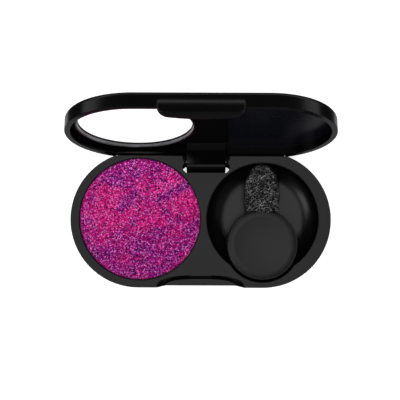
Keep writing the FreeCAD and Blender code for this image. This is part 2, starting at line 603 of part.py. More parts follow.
bead = Part.makeCylinder(TAB_BEAD, CATCH_W - 0.4, V(-CATCH_W / 2 + 0.2, -END_R + TAB_BACK, bead_z), V(1, 0, 0))
shell = fuse(shell, upper, lower, bead)

mirror = cyl(MIR_R, MIR_X, MIR_Y, cw, cw + MIR_T)
mirror = mirror.makeChamfer(0.10, edges_at_z(mirror, cw))
tape = cyl(MIR_TAPE_R, MIR_X, MIR_Y, cw + MIR_T, cw + MIR_T + MIR_TAPE_T)


def opened(shape):
    s = shape.copy()
    s.rotate(V(0, AXIS_Y, AXIS_Z), V(1, 0, 0), -OPEN_DEG)
    return s


save("lid_shell", opened(one(shell)))
save("mirror_disc", opened(mirror))
save("mirror_adhesive", opened(tape))
save("mirror_plate", opened(one(plate)))
save("mirror_bezel", opened(bezel))
print("axis y %.3f z %.3f" % (AXIS_Y, AXIS_Z))
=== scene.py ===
import bpy, math, random
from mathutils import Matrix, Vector, noise


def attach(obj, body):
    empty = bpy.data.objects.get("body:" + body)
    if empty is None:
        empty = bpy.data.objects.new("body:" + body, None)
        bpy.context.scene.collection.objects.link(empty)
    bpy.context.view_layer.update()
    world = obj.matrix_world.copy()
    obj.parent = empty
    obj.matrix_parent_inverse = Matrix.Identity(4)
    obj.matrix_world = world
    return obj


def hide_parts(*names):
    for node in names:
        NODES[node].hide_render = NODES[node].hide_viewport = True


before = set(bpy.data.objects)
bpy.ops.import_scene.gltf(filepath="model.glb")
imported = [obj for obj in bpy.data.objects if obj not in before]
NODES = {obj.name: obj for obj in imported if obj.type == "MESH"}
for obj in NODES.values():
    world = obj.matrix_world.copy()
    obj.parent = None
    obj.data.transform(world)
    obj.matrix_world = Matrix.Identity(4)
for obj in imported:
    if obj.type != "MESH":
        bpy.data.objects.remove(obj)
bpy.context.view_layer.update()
MM = 0.001
scene = bpy.context.scene
scene.view_settings.view_transform = 'Standard'
scene.view_settings.look = 'None'
scene.view_settings.exposure = 0.0
scene.view_settings.gamma = 1.0


# ---------------------------------------------------------------- camera
# straight down on the deck, from 228 mm above it
cam_data = bpy.data.cameras.new("camera")
cam = bpy.data.objects.new("camera", cam_data)
scene.collection.objects.link(cam)
cam.location = (-0.16 * MM, 4.38 * MM, 235.0 * MM)
cam.rotation_euler = (0.0, 0.0, 0.0036)
cam_data.sensor_width = 36.0
cam_data.lens = 92.32
cam_data.clip_start = 0.01
cam_data.clip_end = 20.0
cam_data.dof.use_dof = False
scene.camera = cam


# ---------------------------------------------------------------- node helpers
def srgb(r, g, b):
    """An sRGB colour of 0 to 255 as linear RGBA."""
    def lin(c):
        c /= 255.0
        return c / 12.92 if c <= 0.04045 else ((c + 0.055) / 1.055) ** 2.4
    return (lin(r), lin(g), lin(b), 1.0)


class Mat:
    """A material with a Principled shader and short calls for its nodes."""

    def __init__(self, name):
        self.m = bpy.data.materials.new(name)
        self.m.use_nodes = True
        self.t = self.m.node_tree
        self.t.nodes.clear()
        self.out = self.t.nodes.new("ShaderNodeOutputMaterial")
        self.b = self.t.nodes.new("ShaderNodeBsdfPrincipled")
        self.t.links.new(self.b.outputs[0], self.out.inputs[0])
        self.coord = self.t.nodes.new("ShaderNodeTexCoord").outputs["Object"]

    def put(self, socket, value):
        """Links an output to a socket, or sets the socket's own value."""
        if isinstance(value, bpy.types.NodeSocket):
            self.t.links.new(value, socket)
        elif isinstance(value, (int, float)) and hasattr(socket.default_value, "__len__"):
            socket.default_value = [value] * len(socket.default_value)
        else:
            socket.default_value = value

    def set(self, **kw):
        for k, v in kw.items():
            self.put(self.b.inputs[k.replace("_", " ")], v)

    def mapping(self, scale=(1, 1, 1), rot=(0, 0, 0), loc=(0, 0, 0), vec=None):
        n = self.t.nodes.new("ShaderNodeMapping")
        self.t.links.new(vec or self.coord, n.inputs["Vector"])
        n.inputs["Scale"].default_value = scale
        n.inputs["Rotation"].default_value = rot
        n.inputs["Location"].default_value = loc
        return n.outputs[0]

    def noise(self, size_mm, detail=2.0, rough=0.5, vec=None, dist=0.0, out="Fac"):
        n = self.t.nodes.new("ShaderNodeTexNoise")
        self.t.links.new(vec or self.coord, n.inputs["Vector"])
        n.inputs["Scale"].default_value = 1.0 / (size_mm * MM)
        n.inputs["Detail"].default_value = detail
        n.inputs["Roughness"].default_value = rough
        n.inputs["Distortion"].default_value = dist
        return n.outputs[out]

    def voronoi(self, size_mm, feature='F1', out="Distance", vec=None, randomness=1.0):
        n = self.t.nodes.new("ShaderNodeTexVoronoi")
        n.feature = feature
        self.t.links.new(vec or self.coord, n.inputs["Vector"])
        n.inputs["Scale"].default_value = 1.0 / (size_mm * MM)
        n.inputs["Randomness"].default_value = randomness
        return n.outputs[out]

    def math(self, op, a, b=0.0, c=None, clamp=False):
        n = self.t.nodes.new("ShaderNodeMath")
        n.operation = op
        n.use_clamp = clamp
        self.put(n.inputs[0], a)
        self.put(n.inputs[1], b)
        if c is not None:
            self.put(n.inputs[2], c)
        return n.outputs[0]

    def span(self, v, a, b, lo, hi, smooth=False):
        n = self.t.nodes.new("ShaderNodeMapRange")
        n.interpolation_type = 'SMOOTHSTEP' if smooth else 'LINEAR'
        n.clamp = True
        self.put(n.inputs["Value"], v)
        n.inputs["From Min"].default_value = a
        n.inputs["From Max"].default_value = b
        n.inputs["To Min"].default_value = lo
        n.inputs["To Max"].default_value = hi
        return n.outputs[0]

    def ramp(self, v, stops, interp='LINEAR'):
        n = self.t.nodes.new("ShaderNodeValToRGB")
        n.color_ramp.interpolation = interp
        e = n.color_ramp.elements
        while len(e) < len(stops):
            e.new(0.5)
        for el, (p, c) in zip(e, stops):
            el.position = p
            el.color = c
        self.put(n.inputs[0], v)
        return n.outputs[0]

    def mix(self, f, a, b, blend='MIX'):
        n = self.t.nodes.new("ShaderNodeMix")
        n.data_type = 'RGBA'
        n.blend_type = blend
        self.put(n.inputs[0], f)
        self.put(n.inputs[6], a)
        self.put(n.inputs[7], b)
        return n.outputs[2]

    def bump(self, height, mm, strength=1.0, normal=None):
        n = self.t.nodes.new("ShaderNodeBump")
        n.inputs["Strength"].default_value = strength
        n.inputs["Distance"].default_value = mm * MM
        self.put(n.inputs["Height"], height)
        if normal is not None:
            self.put(n.inputs["Normal"], normal)
        return n.outputs[0]

    def part(self, vec, i):
        n = self.t.nodes.new("ShaderNodeSeparateXYZ")
        self.put(n.inputs[0], vec)
        return n.outputs[i]

    def attr(self, name, out="Fac"):
        n = self.t.nodes.new("ShaderNodeAttribute")
        n.attribute_name = name
        return n.outputs[out]


def all_of(m, *tests):
    """1 where every (value, operation, limit) holds, else 0."""
    f = None
    for v, op, lim in tests:
        g = m.math(op, v, lim)
        f = g if f is None else m.math('MULTIPLY', f, g)
    return f


def lid_zones(m):
    """Zones of the lid, in mm of the closed lid's frame: the open ceiling right of the plate, which gets a painted navy
    reflection tone; unpolished faces, painted darker where they lie in shade; the outer face, painted lighter grey; and
    the tab.
    """
    c, s = math.cos(math.radians(OPEN_DEG)), math.sin(math.radians(OPEN_DEG))
    x, y, z = (m.math('MULTIPLY', m.part(m.coord, i), 1000.0) for i in range(3))
    y, z = m.math('SUBTRACT', y, AXIS_Y), m.math('SUBTRACT', z, AXIS_Z)
    yc = m.math('ADD', m.math('SUBTRACT', m.math('MULTIPLY', y, c), m.math('MULTIPLY', z, s)), AXIS_Y)
    zc = m.math('ADD', m.math('ADD', m.math('MULTIPLY', y, s), m.math('MULTIPLY', z, c)), AXIS_Z)
    ex = m.math('MAXIMUM', m.math('SUBTRACT', m.math('ABSOLUTE', x), 13.84), 0.0)
    d = m.math('SQRT', m.math('ADD', m.math('MULTIPLY', ex, ex), m.math('MULTIPLY', yc, yc)))
    ceiling = all_of(m, (d, 'LESS_THAN', 13.98), (yc, 'LESS_THAN', 13.02), (x, 'GREATER_THAN', 5.60),
                     (zc, 'LESS_THAN', 9.20), (zc, 'GREATER_THAN', 8.90))
    slope = all_of(m, (x, 'GREATER_THAN', -3.4), (x, 'LESS_THAN', 5.75), (yc, 'GREATER_THAN', 10.2),
                   (yc, 'LESS_THAN', 13.0), (zc, 'GREATER_THAN', 7.55), (zc, 'LESS_THAN', 9.10))
    edge = all_of(m, (zc, 'LESS_THAN', 7.03), (yc, 'LESS_THAN', -12.5), (yc, 'GREATER_THAN', -15.4))
    low = all_of(m, (zc, 'LESS_THAN', 5.58), (yc, 'LESS_THAN', -15.2))
    tab = m.span(yc, -15.45, -15.20, 1, 0, True)
    return ceiling, m.math('MAXIMUM', m.math('MAXIMUM', slope, edge), low), m.span(zc, 10.15, 10.36, 0, 1, True), tab


def base_zones(m):
    """Zones of the base: the unpolished hinge notch and the polished scoop wall, both painted near-black where they lie
    in shade, and the outer wall, painted lighter grey.
    """
    x, y, z = (m.math('MULTIPLY', m.part(m.coord, i), 1000.0) for i in range(3))
    ax = m.math('ABSOLUTE', x)
    notch = all_of(m, (x, 'GREATER_THAN', -4.6), (x, 'LESS_THAN', 7.0), (y, 'GREATER_THAN', 10.40), (z, 'LESS_THAN', 6.62))
    past = m.math('SUBTRACT', ax, m.math('MULTIPLY', z, 0.7132))
    scoop = all_of(m, (y, 'LESS_THAN', -12.2), (z, 'GREATER_THAN', 4.24), (z, 'LESS_THAN', 6.70), (past, 'LESS_THAN', 5.06))
    ex = m.math('MAXIMUM', m.math('SUBTRACT', ax, 13.84), 0.0)
    d = m.math('SQRT', m.math('ADD', m.math('MULTIPLY', ex, ex), m.math('MULTIPLY', y, y)))
    ledge = all_of(m, (y, 'LESS_THAN', -12.2), (z, 'GREATER_THAN', 4.08), (past, 'LESS_THAN', 5.06))
    wall = m.math('MULTIPLY', m.math('GREATER_THAN', d, 14.0), m.span(z, 6.45, 6.66, 1, 0, True))
    return notch, scoop, m.math('MULTIPLY', wall, m.math('SUBTRACT', 1.0, ledge))


def plastic(name, dark, light, spec, rough, grain_mm=0.09, grain_depth=0.0016, hair=0.0, painted_ceiling_tint=None, painted_floor_grey=None):
    """Moulded black plastic: a fine spark-eroded grain, soft flow marks and, on gloss parts, hairlines."""
    m = Mat(name)
    flow = m.noise(9.0, 3, 0.55, dist=0.4)
    fine = m.noise(0.7, 4, 0.6)
    tone = m.math('ADD', m.math('MULTIPLY', flow, 0.6), m.math('MULTIPLY', fine, 0.4))
    col = m.mix(m.span(tone, 0.35, 0.65, 0, 1), dark, light)
    rough_v = m.span(m.math('ADD', m.math('MULTIPLY', flow, 0.5), m.math('MULTIPLY', fine, 0.5)),
                     0.3, 0.7, rough[0], rough[1])
    grain = m.noise(grain_mm, 2, 0.5)
    normal = m.bump(grain, grain_depth, 1.0)
    if hair:
        v1 = m.mapping((1, 26, 1), (0, 0, 0.5))
        v2 = m.mapping((22, 1, 1), (0, 0.3, -0.35))
        h1 = m.span(m.noise(4.0, 3, 0.7, vec=v1), 0.63, 0.70, 0, 1)
        h2 = m.span(m.noise(5.0, 3, 0.7, vec=v2), 0.64, 0.71, 0, 1)
        lines = m.math('MAXIMUM', h1, h2)
        rough_v = m.math('ADD', rough_v, m.math('MULTIPLY', lines, hair))
    if painted_ceiling_tint:
        f, dull_shaded, outer, tab = lid_zones(m)
        # painted light: the lid's outer face is a lighter grey so that its form shows, though the plastic is black
        col = m.mix(outer, col, m.mix(m.span(tone, 0.35, 0.65, 0, 1), srgb(34, 34, 35), srgb(42, 42, 43)))
        rough_v = m.math('ADD', rough_v, m.math('MAXIMUM', m.math('MULTIPLY', outer, 0.12), m.math('MULTIPLY', tab, 0.04)))
        # painted reflection: the open ceiling right of the plate is tinted navy
        col = m.mix(f, col, painted_ceiling_tint)
        rough_v = m.math('MAXIMUM', rough_v, m.math('MULTIPLY', f, 0.27))
        # painted shade: the tongue slope, the rim's lower face and the tab's lower part are darkened to near-black,
        # besides being made rough
        col = m.mix(dull_shaded, col, srgb(3, 3, 3))
        rough_v = m.math('MAXIMUM', rough_v, m.math('MULTIPLY', dull_shaded, 0.80))
    if painted_floor_grey:
        # painted light: below 2.3 mm the applicator well's floor is painted a lighter grey, as if lit
        low = m.span(m.math('MULTIPLY', m.part(m.coord, 2), 1000.0), 2.22, 2.40, 1, 0)
        col = m.mix(m.math('MULTIPLY', low, m.span(tone, 0.3, 0.7, 0.75, 1.0)), col, painted_floor_grey)
        dull_shaded, scoop, outer = base_zones(m)
        # painted light: the base's outer wall is a lighter grey so that its form shows, though the plastic is black
        col = m.mix(outer, col, m.mix(m.span(tone, 0.35, 0.65, 0, 1), srgb(32, 32, 33), srgb(40, 40, 41)))
        rough_v = m.math('ADD', rough_v, m.math('MULTIPLY', outer, 0.10))
        rough_v = m.math('SUBTRACT', rough_v, m.math('MULTIPLY', scoop, 0.11))
        # painted shade: the hinge notch and the scoop wall are darkened to near-black
        col = m.mix(m.math('MAXIMUM', dull_shaded, scoop), col, srgb(2, 2, 2))
        rough_v = m.math('MAXIMUM', rough_v, m.math('MULTIPLY', dull_shaded, 0.95))
    m.set(Base_Color=col, Roughness=rough_v, Normal=normal)
    m.b.inputs["Specular IOR Level"].default_value = spec
    return m.m


# ---------------------------------------------------------------- finishes
OPEN_DEG, AXIS_Y, AXIS_Z = 107.3, 12.86, 5.187      # the hinge, in mm
# the last colour is painted light for the applicator well's floor
BASE = plastic("base_satin_black", srgb(5, 5, 5), srgb(9, 9, 9.5), 0.36, (0.21, 0.28),
               painted_floor_grey=srgb(34, 34, 35))
# the last colour is a painted navy reflection tone for the lid's open ceiling
LID = plastic("lid_gloss_black", srgb(3, 3, 3.4), srgb(5.5, 5.5, 6), 0.24, (0.17, 0.25),
              grain_mm=0.25, grain_depth=0.0006, hair=0.06, painted_ceiling_tint=srgb(13, 14, 20))
KNOB = plastic("knob_satin_black", srgb(8, 8, 8), srgb(13, 13, 13), 0.49, (0.30, 0.38))
COVER = plastic("cover_matt_black", srgb(8, 8, 8), srgb(14, 14, 14), 0.35, (0.42, 0.55), grain_mm=0.12, grain_depth=0.004)
PLATE = plastic("plate_dull_black", srgb(2, 2, 2.4), srgb(4, 4, 4.6), 0.06, (0.50, 0.62), grain_mm=0.15, grain_depth=0.002)
STEM = plastic("stem_black", srgb(7, 7, 7), srgb(12, 12, 12), 0.4, (0.3, 0.4))


def glowing_mirror_finish():
    """The mirror face, painted as a white surface that glows (emission) in place of its reflection, with a faint haze
    and dust.
    """
    m = Mat("mirror_glowing_face")
    haze = m.noise(5.0, 4, 0.6)
    dust = m.span(m.voronoi(0.8), 0.0, 0.10, 1, 0)
    col = m.mix(m.span(haze, 0.3, 0.7, 0, 1), srgb(246, 247, 248), srgb(253, 253, 253))
    r = m.math('ADD', m.span(haze, 0.3, 0.7, 0.03, 0.07), m.math('MULTIPLY', dust, 0.10))
    m.set(Base_Color=col, Roughness=r, Emission_Color=col, Normal=m.bump(haze, 0.0004))
    m.b.inputs["Metallic"].default_value = 0.35
    # painted light: the mirror face glows white instead of reflecting
    m.b.inputs["Emission Strength"].default_value = 0.85
    return m.m


def metal(name, dark, light, rough, streak=0.0, size=0.6, dust=None):
    m = Mat(name)
    n = m.noise(size, 4, 0.6)
    col = m.mix(m.span(n, 0.3, 0.7, 0, 1), dark, light)
    h = m.noise(size * 0.7, 3, 0.55)
    m.set(Base_Color=col, Roughness=m.span(n, 0.3, 0.7, rough[0], rough[1]), Normal=m.bump(h, streak))
    m.b.inputs["Metallic"].default_value = 1.0
    if dust:
        # powder left on the upper edge
        up = m.span(m.math('MULTIPLY', m.part(m.coord, 2), 1000.0), 5.6, 5.9, 0, 1)
        m.set(Base_Color=m.mix(up, col, dust), Metallic=m.span(up, 0, 1, 1, 0),
              Roughness=m.math('MAXIMUM', m.math('MULTIPLY', up, 0.8), m.span(n, 0.3, 0.7, rough[0], rough[1])))
    return m.m


def paper():
    m = Mat("label_paper")
    fib = m.noise(0.35, 5, 0.7, vec=m.mapping((1, 3, 1), (0, 0, 0.7)))
    spot = m.noise(3.0, 3, 0.5)
    col = m.mix(m.span(m.math('ADD', m.math('MULTIPLY', fib, 0.5), m.math('MULTIPLY', spot, 0.5)), 0.35, 0.65, 0, 1),
                srgb(206, 204, 199), srgb(226, 225, 221))
    m.set(Base_Color=col, Roughness=m.span(fib, 0.3, 0.7, 0.62, 0.8), Normal=m.bump(fib, 0.006))
    m.b.inputs["Specular IOR Level"].default_value = 0.3
    return m.m


def glue():
    m = Mat("adhesive_pad")
    n = m.noise(0.8, 4, 0.6)
    col = m.mix(m.span(n, 0.3, 0.7, 0, 1), srgb(188, 182, 168), srgb(214, 209, 197))
    m.set(Base_Color=col, Roughness=m.span(n, 0.3, 0.7, 0.45, 0.65), Normal=m.bump(n, 0.01))
    return m.m


GLOWING_MIRROR = glowing_mirror_finish()
BEZEL = metal("bezel_dark_chrome", srgb(82, 82, 85), srgb(112, 112, 115), (0.28, 0.40), 0.004, 0.5)
TIN = metal("pan_tin", srgb(168, 170, 172), srgb(196, 198, 200), (0.28, 0.42), 0.002, 0.8, dust=srgb(110, 10, 78))
STEEL = metal("pin_steel", srgb(150, 151, 153), srgb(182, 183, 185), (0.2, 0.32), 0.002, 0.4)
PAPER = paper()
GLUE = glue()


SX, SZ = 13.70, 5.15      # middle of the sponge tip, mm


def powder_finish():
    """Pressed glitter powder: hot pink and violet pigment patches under single grains, some of them pale and bright."""
    m = Mat("powder_glitter")
    pink = m.attr("pink")
    cell = m.voronoi(0.19, out="Color")
    r1, r2, r3 = m.part(cell, 0), m.part(cell, 1), m.part(cell, 2)
    drift = m.noise(1.3, 3, 0.6)
    # each grain has its own tone; the patches turn the grains from violet to hot pink
    h = m.math('ADD', pink, m.math('MULTIPLY', m.math('SUBTRACT', r3, 0.5), 0.36))
    h = m.math('ADD', h, m.math('MULTIPLY', m.math('SUBTRACT', drift, 0.5), 0.62))
    h = m.span(h, 0.29, 0.81, 0, 1)
    warm = m.ramp(r1, [(0.0, srgb(30, 0, 26)), (0.22, srgb(84, 2, 62)), (0.32, srgb(217, 11, 129)),
                       (0.72, srgb(247, 12, 140)), (0.82, srgb(249, 62, 166)), (1.0, srgb(255, 138, 212))])
    cool = m.ramp(r1, [(0.0, srgb(10, 0, 30)), (0.26, srgb(52, 2, 72)), (0.38, srgb(134, 9, 122)),
                       (0.72, srgb(183, 14, 149)), (0.82, srgb(208, 62, 182)), (1.0, srgb(250, 140, 234))])
    body = m.mix(h, cool, warm)
    body = m.mix(1.0, body, m.span(r2, 0, 1, 0.56, 1.24), 'MULTIPLY')
    speck = m.math('MULTIPLY', m.span(m.noise(0.55, 2, 0.6), 0.55, 0.66, 0, 1), m.span(h, 0.1, 0.9, 1.0, 0.25))
    body = m.mix(m.math('MULTIPLY', speck, 0.60), body, srgb(56, 2, 66))
    flake = m.math('GREATER_THAN', r2, 0.97)
    col = m.mix(flake, body, srgb(252, 146, 226))
    m.set(Base_Color=col, Metallic=m.math('MULTIPLY', flake, 0.25),
          Roughness=m.span(r3, 0, 1, 0.40, 0.65))
    m.b.inputs["Specular IOR Level"].default_value = 0.08
    return m.m


def foam_finish():
    """Black foam: fine open cells whose highlights are painted into the colour as grey streaks, with painted shade
    along the sides and at the tip.
    """
    m = Mat("sponge_foam")
    warp = m.noise(0.9, 2, 0.5, out="Color")
    n = m.t.nodes.new("ShaderNodeVectorMath")
    n.operation = 'MULTIPLY_ADD'
    m.put(n.inputs[0], warp)
    n.inputs[1].default_value = (0.0004, 0.0004, 0.0004)
    m.put(n.inputs[2], m.coord)
    v = n.outputs[0]

    def glint_streaks(angle, long_mm, wide_mm, lo, hi):
        w = m.mapping((wide_mm / long_mm, 1.0, 0.7), vec=m.mapping(rot=(0, 0, -angle), vec=v))
        return m.span(m.noise(wide_mm, 1.5, 0.5, vec=w), lo, hi, 0, 1)

    s1 = glint_streaks(0.55, 0.50, 0.12, 0.54, 0.64)
    s2 = glint_streaks(-0.25, 0.38, 0.12, 0.56, 0.66)
    # painted highlights: grey streaks where the foam's cell walls would catch the light
    painted_glint = m.math('MAXIMUM', s1, s2)
    # painted shade: the foam is darkened along its sides and at the tip
    off = m.math('DIVIDE', m.math('SUBTRACT', m.math('MULTIPLY', m.part(m.coord, 0), 1000.0), SX), 3.95)
    far = m.math('DIVIDE', m.math('MAXIMUM', m.math('SUBTRACT', m.math('MULTIPLY', m.part(m.coord, 1), 1000.0), 5.6), 0.0), 6.7)
    side = m.math('ADD', m.math('MULTIPLY', off, off), m.math('MULTIPLY', far, far))
    painted_glint = m.math('MULTIPLY', painted_glint, m.span(side, 0.78, 1.10, 1.0, 0.45, True))
    painted_glint = m.math('MULTIPLY', painted_glint, m.span(m.noise(1.6, 2), 0.32, 0.66, 0.45, 1.0), clamp=True)
    col = m.ramp(painted_glint, [(0.0, srgb(3, 3, 3)), (0.34, srgb(22, 22, 22)), (1.0, srgb(186, 186, 186))])
    m.set(Base_Color=col, Roughness=m.span(painted_glint, 0, 1, 0.9, 0.6), Normal=m.bump(painted_glint, 0.05))
    m.b.inputs["Specular IOR Level"].default_value = 0.12
    return m.m


POWDER = powder_finish()
FOAM = foam_finish()

for node, mat in (("base_body", BASE), ("lid_shell", LID), ("applicator_knob", KNOB), ("base_bottom_cover", COVER),
                  ("applicator_stem", STEM), ("mirror_disc", GLOWING_MIRROR), ("mirror_plate", PLATE), ("mirror_bezel", BEZEL), ("eyeshadow_pan", TIN),
                  ("hinge_pin", STEEL), ("underside_label", PAPER), ("pan_adhesive", GLUE), ("mirror_adhesive", GLUE)):
    o = NODES[node]
    if not o.material_slots:
        o.data.materials.append(mat)
    for s in o.material_slots:
        s.material = mat


def add(name, verts, faces, mat, body, node, smooth):
    me = bpy.data.meshes.new(name)
    me.from_pydata(verts, [], faces)
    me.validate()
    me.update()
    me.materials.append(mat)
    for p in me.polygons:
        p.use_smooth = smooth
    o = bpy.data.objects.new(name, me)
    scene.collection.objects.link(o)
    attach(o, body)
    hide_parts(node)
    return o


# ---------------------------------------------------------------- powder cake
PX, PY, PR, PZ = -13.50, 0.10, 13.40, 6.56      # mm
rng = random.Random(11)

# patches of colour on the cake, mm from its centre: x, y, half length, half width, angle, pull to pink (+) or violet (-)
PATCHES = [
    (-7.9, 6.3, 2.2, 1.6, 0.3, 0.34), (-7.0, 4.6, 2.4, 1.9, -0.4, 0.40), (-8.8, 2.4, 2.2, 2.6, 0.0, 0.36),
    (-7.6, -0.2, 2.4, 2.2, 0.5, 0.36), (-5.4, -1.6, 2.0, 1.4, 0.2, 0.30), (9.7, 3.9, 3.0, 1.8, 0.45, 0.52),
    (11.3, 1.6, 1.8, 1.8, 0.9, 0.48), (7.0, 9.3, 2.0, 1.1, -0.7, 0.36), (-3.3, 0.7, 2.2, 1.5, 0.7, 0.42),
    (0.6, -1.4, 2.6, 1.2, 0.8, 0.38), (4.3, -0.1, 1.4, 1.8, 0.2, 0.44), (3.9, 5.9, 1.6, 1.2, 0.3, 0.34),
    (1.0, 2.8, 2.4, 1.1, 0.5, 0.26), (0.9, 9.6, 2.2, 1.0, -0.2, 0.20), (7.8, -3.0, 1.6, 0.8, 0.3, 0.30),
    (-8.4, -4.8, 1.6, 1.0, 0.2, 0.28), (1.6, -5.4, 0.8, 0.8, 0.0, 0.26), (-3.8, -8.8, 1.7, 0.9, 0.3, 0.24),
    (5.3, -9.6, 1.5, 0.8, 0.3, 0.20), (-0.4, 7.0, 2.0, 0.9, 0.4, 0.16), (10.2, -8.0, 1.1, 1.1, 0.8, 0.18),
    (-6.0, 8.7, 3.0, 1.3, 0.35, -0.34), (-0.6, 9.9, 1.2, 0.7, 0.3, -0.44), (2.3, 9.8, 0.8, 0.5, 0.3, -0.30),
    (6.2, 5.5, 3.9, 0.62, 0.42, -0.66), (9.6, 7.2, 1.6, 0.9, 0.5, -0.36), (-3.0, 7.6, 1.0, 0.7, 0.2, -0.34),
    (-6.0, 7.6, 1.1, 0.8, 0.4, -0.36), (-1.4, 5.6, 0.8, 1.6, -0.3, -0.40), (-3.6, 3.4, 1.5, 1.0, 0.6, -0.44),
    (-4.0, 2.2, 0.9, 0.8, 0.2, -0.34), (-10.6, 4.5, 0.8, 1.3, -0.3, -0.34), (-10.6, -0.2, 1.3, 0.6, 0.0, -0.26),
    (-4.9, -2.7, 0.7, 0.7, 0.0, -0.44), (-1.9, -0.9, 0.8, 0.9, 0.3, -0.28), (-0.3, -5.6, 0.8, 1.8, -0.1, -0.38),
    (1.5, -6.4, 1.4, 1.0, 0.4, -0.48), (2.9, -8.0, 1.1, 0.8, 0.5, -0.34), (5.2, -2.7, 1.0, 0.6, 0.6, -0.36),
    (3.1, -3.9, 1.4, 0.9, 0.5, -0.28), (9.9, 2.1, 0.9, 0.6, 0.3, -0.36), (12.4, -0.2, 0.7, 1.0, 0.4, -0.34),
    (-10.0, -7.2, 1.3, 0.8, -0.5, -0.40), (-8.9, -8.6, 1.0, 0.7, -0.6, -0.40), (-6.6, -7.6, 1.5, 1.1, 0.2, -0.30),
    (-2.1, -11.5, 1.3, 0.9, 0.2, -0.42), (-5.2, -10.9, 0.9, 0.7, 0.3, -0.36), (3.6, -11.2, 1.6, 0.9, 0.3, -0.38),
    (6.2, -9.0, 1.2, 1.0, 0.5, -0.34), (8.1, -7.6, 1.3, 0.9, 0.6, -0.34), (9.9, -6.0, 1.1, 0.9, 0.7, -0.28),
    (1.0, -9.6, 1.2, 0.8, 0.3, -0.30), (11.2, -2.6, 0.9, 1.4, -0.3, -0.28), (5.6, 1.2, 0.9, 0.8, 0.4, -0.26),
]


def pinkness(x, y):
    """0 where the cake is deep violet, 1 where it is hot pink."""
    p = 0.52 + 0.05 * min(1.0, max(-1.0, (y - 1.0) / 6.0)) - 0.16 * min(1.0, max(0.0, (y - 8.0) / 3.0))
    for cx, cy, a, b, ang, s in PATCHES:
        dx, dy = x - cx, y - cy
        if abs(dx) + abs(dy) > 12:
            continue
        c, n = math.cos(ang), math.sin(ang)
        u, v = (dx * c + dy * n) / a, (dy * c - dx * n) / b
        p += s * math.exp(-0.9 * (u * u + v * v))
    p += 0.20 * noise.noise(Vector((x * 0.55 + 0.5 * y, y * 1.1, 3.1)))
    return min(1.0, max(0.0, p))


def cake():
    h, rings = 0.165, 80
    step = (PR - 0.16) / rings
    pts, rows = [(PX, PY, PZ)], [[0]]
    for k in range(1, rings + 1):
        row = []
        for i in range(6 * k):
            a = (i + 0.5 * (k % 2)) / (6 * k) * 2 * math.pi
            inner = k < rings
            r = k * step + (rng.uniform(-0.36, 0.36) * h if inner else rng.uniform(-0.05, 0.02))
            a += (rng.uniform(-0.36, 0.36) * h) / max(r, h) if inner else 0.0
            x, y = r * math.cos(a), r * math.sin(a)
            swell = 0.030 * noise.noise(Vector((x * 0.35, y * 0.35, 7.7))) + 0.020 * noise.noise(Vector((x * 1.6, y * 1.6, 1.2)))
            z = PZ + swell + rng.uniform(-0.045, 0.045)
            if k >= rings - 1:
                z -= 0.05 * (k - rings + 2)
            row.append(len(pts))
            pts.append((PX + x, PY + y, z))
        rows.append(row)
    faces = []
    for k in range(1, rings + 1):
        a, b = rows[k - 1], rows[k]
        na, nb = len(a), len(b)
        i = j = 0
        if na == 1:
            for j in range(nb):
                faces.append((a[0], b[j], b[(j + 1) % nb]))
            continue
        # walk both rings by angle
        def ang(idx, base, n, turn):
            return (turn + 0.5 * (base % 2)) / n
        while i < na or j < nb:
            ta, tb = ang(i + 1, k - 1, na, i + 1), ang(j + 1, k, nb, j + 1)
            if j < nb and (i >= na or tb <= ta):
                faces.append((a[i % na], b[j % nb], b[(j + 1) % nb]))
                j += 1
            else:
                faces.append((a[i % na], b[j % nb], a[(i + 1) % na]))
                i += 1
    # crumbled rim, the step onto the pan's edge, then the side down in the pan
    last = rows[-1]
    n = len(last)
    for r, z, jit in ((PR - 0.03, PZ - 0.18, 0.03), (PR - 0.02, 6.27, 0.01), (13.10, 6.27, 0.0), (13.10, 2.52, 0.0)):
        new = []
        for i in range(n):
            a = (i + 0.5 * (rings % 2)) / n * 2 * math.pi
            rr = r + rng.uniform(-jit, jit * 0.4)
            new.append(len(pts))
            pts.append((PX + rr * math.cos(a), PY + rr * math.sin(a), z + rng.uniform(-jit, jit)))
        for i in range(n):
            faces.append((last[i], new[i], new[(i + 1) % n], last[(i + 1) % n]))
        last = new
    faces.append(tuple(reversed(last)))
    o = add("powder_cake", [(x * MM, y * MM, z * MM) for x, y, z in pts], faces, POWDER, "base", "eyeshadow_powder", False)
    at = o.data.attributes.new("pink", 'FLOAT', 'POINT')
    at.data.foreach_set("value", [pinkness(x - PX, y - PY) for x, y, z in pts])
    return o


cake()


# ---------------------------------------------------------------- sponge tip
WIDTHS = [(0.95, 3.62), (1.94, 3.74), (4.00, 3.95), (5.94, 3.99), (8.05, 3.80), (9.95, 3.30), (11.06, 2.74), (11.70, 2.16), (12.14, 1.52), (12.40, 0.0)]


def half_width(y):
    for (ya, wa), (yb, wb) in zip(WIDTHS, WIDTHS[1:]):
        if y <= yb:
            f = (y - ya) / (yb - ya)
            return math.sqrt(max(0.0, wa * wa * (1 - f) + wb * wb * f))
    return 0.0


